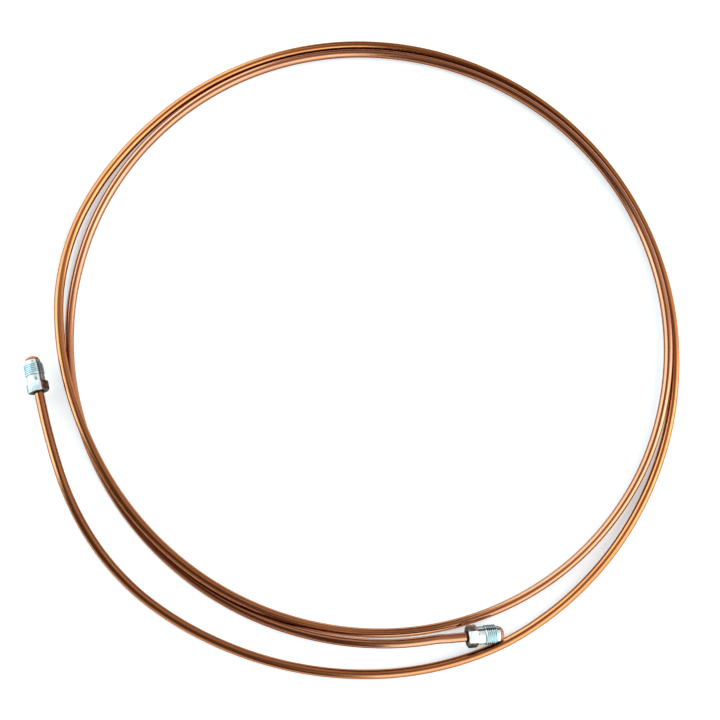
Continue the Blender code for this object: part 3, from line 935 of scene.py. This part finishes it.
def add_group(tree, group, **values):
    """A node group placed in a material; a value is a link, a number or a vector."""
    node = tree.nodes.new("ShaderNodeGroup")
    node.node_tree = group
    for socket, value in values.items():
        feed(tree, node.inputs[socket], value)
    return node.outputs


def add_bump(tree, shader, height, strength):
    """A bump LINE_HEIGHT deep that turns a height into the shader's normal."""
    bump = tree.nodes.new("ShaderNodeBump")
    for socket, value in (("Strength", strength), ("Distance", LINE_HEIGHT), ("Height", height)):
        feed(tree, bump.inputs[socket], value)
    feed(tree, shader.inputs["Normal"], bump.outputs["Normal"])


def copper_material():
    """Metal that pales along the tube, brown in bands, with painted shade at its sides, lines, nicks and a
    film.
    """
    material, tree, shader = new_material("drawn_copper_finish")
    place = add_attribute(tree, "finish_place", "Vector")
    lines = add_group(tree, TOOL_LINES, Place=place,
                      Stretch=(1 / LINE_WIDTH, 1 / LINE_WIDTH, 1 / LINE_LENGTH))
    specks = add_group(tree, SPECKS, Place=place, Density=COPPER_SPECKS, Share=SPECK_SHARE)
    tone = add_range(tree, lines["Bands"], *BANDS_SPAN)
    section = add_split(tree, place)
    near_end = add_range(tree, section["Z"], END_UNTIL, GOLDEN_FROM, END_PALENESS, 0.0)
    paler = add_math(tree, "MAXIMUM", near_end, add_range(tree, section["Z"], GOLDEN_UNTIL, PALE_FROM))
    colour = add_mix(tree, tone, add_mix(tree, paler, GOLDEN_BRIGHT, PALE_BRIGHT),
                     add_mix(tree, paler, GOLDEN_BROWN, PALE_BROWN))
    # Painted shade and reflection: the lower part of each section goes towards dark brown.
    under = add_range(tree, section["Y"], UNDER_TO * TUBE_R, UNDER_FROM * TUBE_R, UNDER_SHARE, 0.0)
    colour = add_mix(tree, under, colour, COPPER_SIDE_SHADE)
    feed(tree, shader.inputs["Base Color"], add_mix(tree, specks["Mask"], colour, COPPER_SPECK))
    feed(tree, shader.inputs["Roughness"], add_range(tree, lines["Lines"], *LINES_SPAN, *COPPER_ROUGHNESS))
    shader.inputs["Metallic"].default_value = 1.0
    on_top = add_range(tree, section["Y"], UNDER_TO * TUBE_R, UNDER_FROM * TUBE_R)
    film = add_range(tree, paler, 0.0, 1.0, GOLDEN_LACQUER, PALE_LACQUER)
    feed(tree, shader.inputs["Coat Weight"], add_math(tree, "MULTIPLY", on_top, film))
    shader.inputs["Specular Tint"].default_value = COPPER_GRAZING
    shader.inputs["Coat Roughness"].default_value = LACQUER_ROUGHNESS
    add_bump(tree, shader, lines["Lines"], COPPER_BUMP)
    return material


tube.data.materials.append(copper_material())
print("copper:", tube.active_material.name)

# %% [markdown]
# ## Zinc
# The nuts are plated with zinc under a thin blue passivation. The hexagon and the neck are pale and a little
# dull, and the thread has pale crests and valleys darkened to teal as painted shade. One grey would lose all
# of that. So the body's colour drifts with a slow noise, the thread's goes by its depth, and the masks lay
# the painted reflections of the teal and slate sides and of the brown flats and line, and the painted shade
# and the nicks, over both. Turning lines round the axis dull the gloss.

# %% Zinc colours and measures
ZINC_PALE = (0.90, 0.91, 0.89, 1.0)
ZINC_BLUE = (0.74, 0.83, 0.84, 1.0)
CREST_PALE = (0.88, 0.94, 0.94, 1.0)
# Painted shade: the thread's valleys go towards this teal by their depth.
VALLEY_SHADE_TEAL = (0.48, 0.62, 0.62, 1.0)
# Painted reflection: the teal and the slate grey sides.
ZINC_TEAL_REFLECTION = (0.26, 0.46, 0.46, 1.0)
ZINC_SLATE_REFLECTION = (0.26, 0.29, 0.34, 1.0)
# Painted reflection: the two browns of the brown flats and the brown line.
ZINC_BROWN_REFLECTION = (0.34, 0.20, 0.14, 1.0)
BROWN_REFLECTION_DARK = (0.11, 0.050, 0.038, 1.0)
# Painted shade, and also the colour of real specks and nicks.
ZINC_DIRT_AND_SHADE = (0.035, 0.04, 0.045, 1.0)
TURNING_LINE = 0.10 * MM
TURNING_REACH = 6 * MM
TINT_SCALE, TINT_SPAN = 450.0, (0.40, 0.62)    # scale per metre, and the noise's values that are used
# Patches of the painted brown reflection.
BROWN_REFLECTION_SCALE, BROWN_REFLECTION_SPAN = 320.0, (0.42, 0.58)
ZINC_ROUGHNESS = (0.40, 0.54)
ZINC_BUMP = 0.2
ZINC_SPECKS = 600.0
print("turning lines, mm:", round(TURNING_LINE / MM, 2), "wide")

# %% Zinc material


def zinc_material():
    """Plated metal: a pale body, a thread shaded by its depth, then painted reflections, shade and nicks."""
    material, tree, shader = new_material("zinc_plate_finish")
    place = add_attribute(tree, "finish_place", "Vector")
    mask = {name: add_attribute(tree, name, "Fac") for name in ("brown_reflection", "teal_reflection", "slate_reflection", "valley", "nicks_and_painted_shade")}
    lines = add_group(tree, TOOL_LINES, Place=place,
                      Stretch=(1 / TURNING_LINE, 1 / TURNING_REACH, 1 / TURNING_REACH))
    specks = add_group(tree, SPECKS, Place=place, Density=ZINC_SPECKS, Share=SPECK_SHARE)
    tint = add_range(tree, add_noise(tree, place, TINT_SCALE), *TINT_SPAN)
    body = add_mix(tree, tint, ZINC_PALE, ZINC_BLUE)
    # Painted shade: the thread darkens towards teal in its valleys.
    thread = add_mix(tree, mask["valley"], CREST_PALE, VALLEY_SHADE_TEAL)
    along = add_split(tree, place)["X"]
    past_neck = add_range(tree, along, THREAD_START - EDGE_SOFT, THREAD_START + EDGE_SOFT)
    before_nose = add_range(tree, along, THREAD_END - EDGE_SOFT, THREAD_END + EDGE_SOFT, 1.0, 0.0)
    colour = add_mix(tree, add_math(tree, "MULTIPLY", past_neck, before_nose), body, thread)
    # Painted reflection: teal and slate grey sides.
    colour = add_mix(tree, mask["teal_reflection"], colour, ZINC_TEAL_REFLECTION)
    colour = add_mix(tree, mask["slate_reflection"], colour, ZINC_SLATE_REFLECTION)
    # Painted reflection: brown on some flats and along the brown line, in patches of two browns.
    patches = add_range(tree, add_noise(tree, place, BROWN_REFLECTION_SCALE), *BROWN_REFLECTION_SPAN)
    colour = add_mix(tree, mask["brown_reflection"], colour, add_mix(tree, patches, ZINC_BROWN_REFLECTION, BROWN_REFLECTION_DARK))
    # Painted shade, real specks and nicks all darken to the same near-black.
    specks_nicks_and_shade = add_math(tree, "MAXIMUM", specks["Mask"], mask["nicks_and_painted_shade"])
    feed(tree, shader.inputs["Base Color"], add_mix(tree, specks_nicks_and_shade, colour, ZINC_DIRT_AND_SHADE))
    feed(tree, shader.inputs["Roughness"], add_range(tree, lines["Lines"], *LINES_SPAN, *ZINC_ROUGHNESS))
    shader.inputs["Metallic"].default_value = 1.0
    add_bump(tree, shader, lines["Lines"], ZINC_BUMP)
    return material


zinc = zinc_material()
for nut in (nut_a, nut_b):
    nut.data.materials.append(zinc)
print("zinc:", zinc.name)

# %% [markdown]
# ## Tie the pieces to the frame
# Each fine piece stands for one imported solid and rides on that solid's body, so that the joints carry it:
# the nuts spin on the tube's straight ends. Parenting by hand would do for one picture. Here each piece is
# parented to its body's empty, and the imported solid that it replaces is hidden.

# %% Bodies and hidden nodes
for piece, body, node, slot in ((tube, "tube", "brake_tube", "copper_tube"),
                                (nut_a, "nut_a", "tube_nut_a", "zinc_nut"),
                                (nut_b, "nut_b", "tube_nut_b", "zinc_nut")):
    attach(piece, body)
    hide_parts(node)
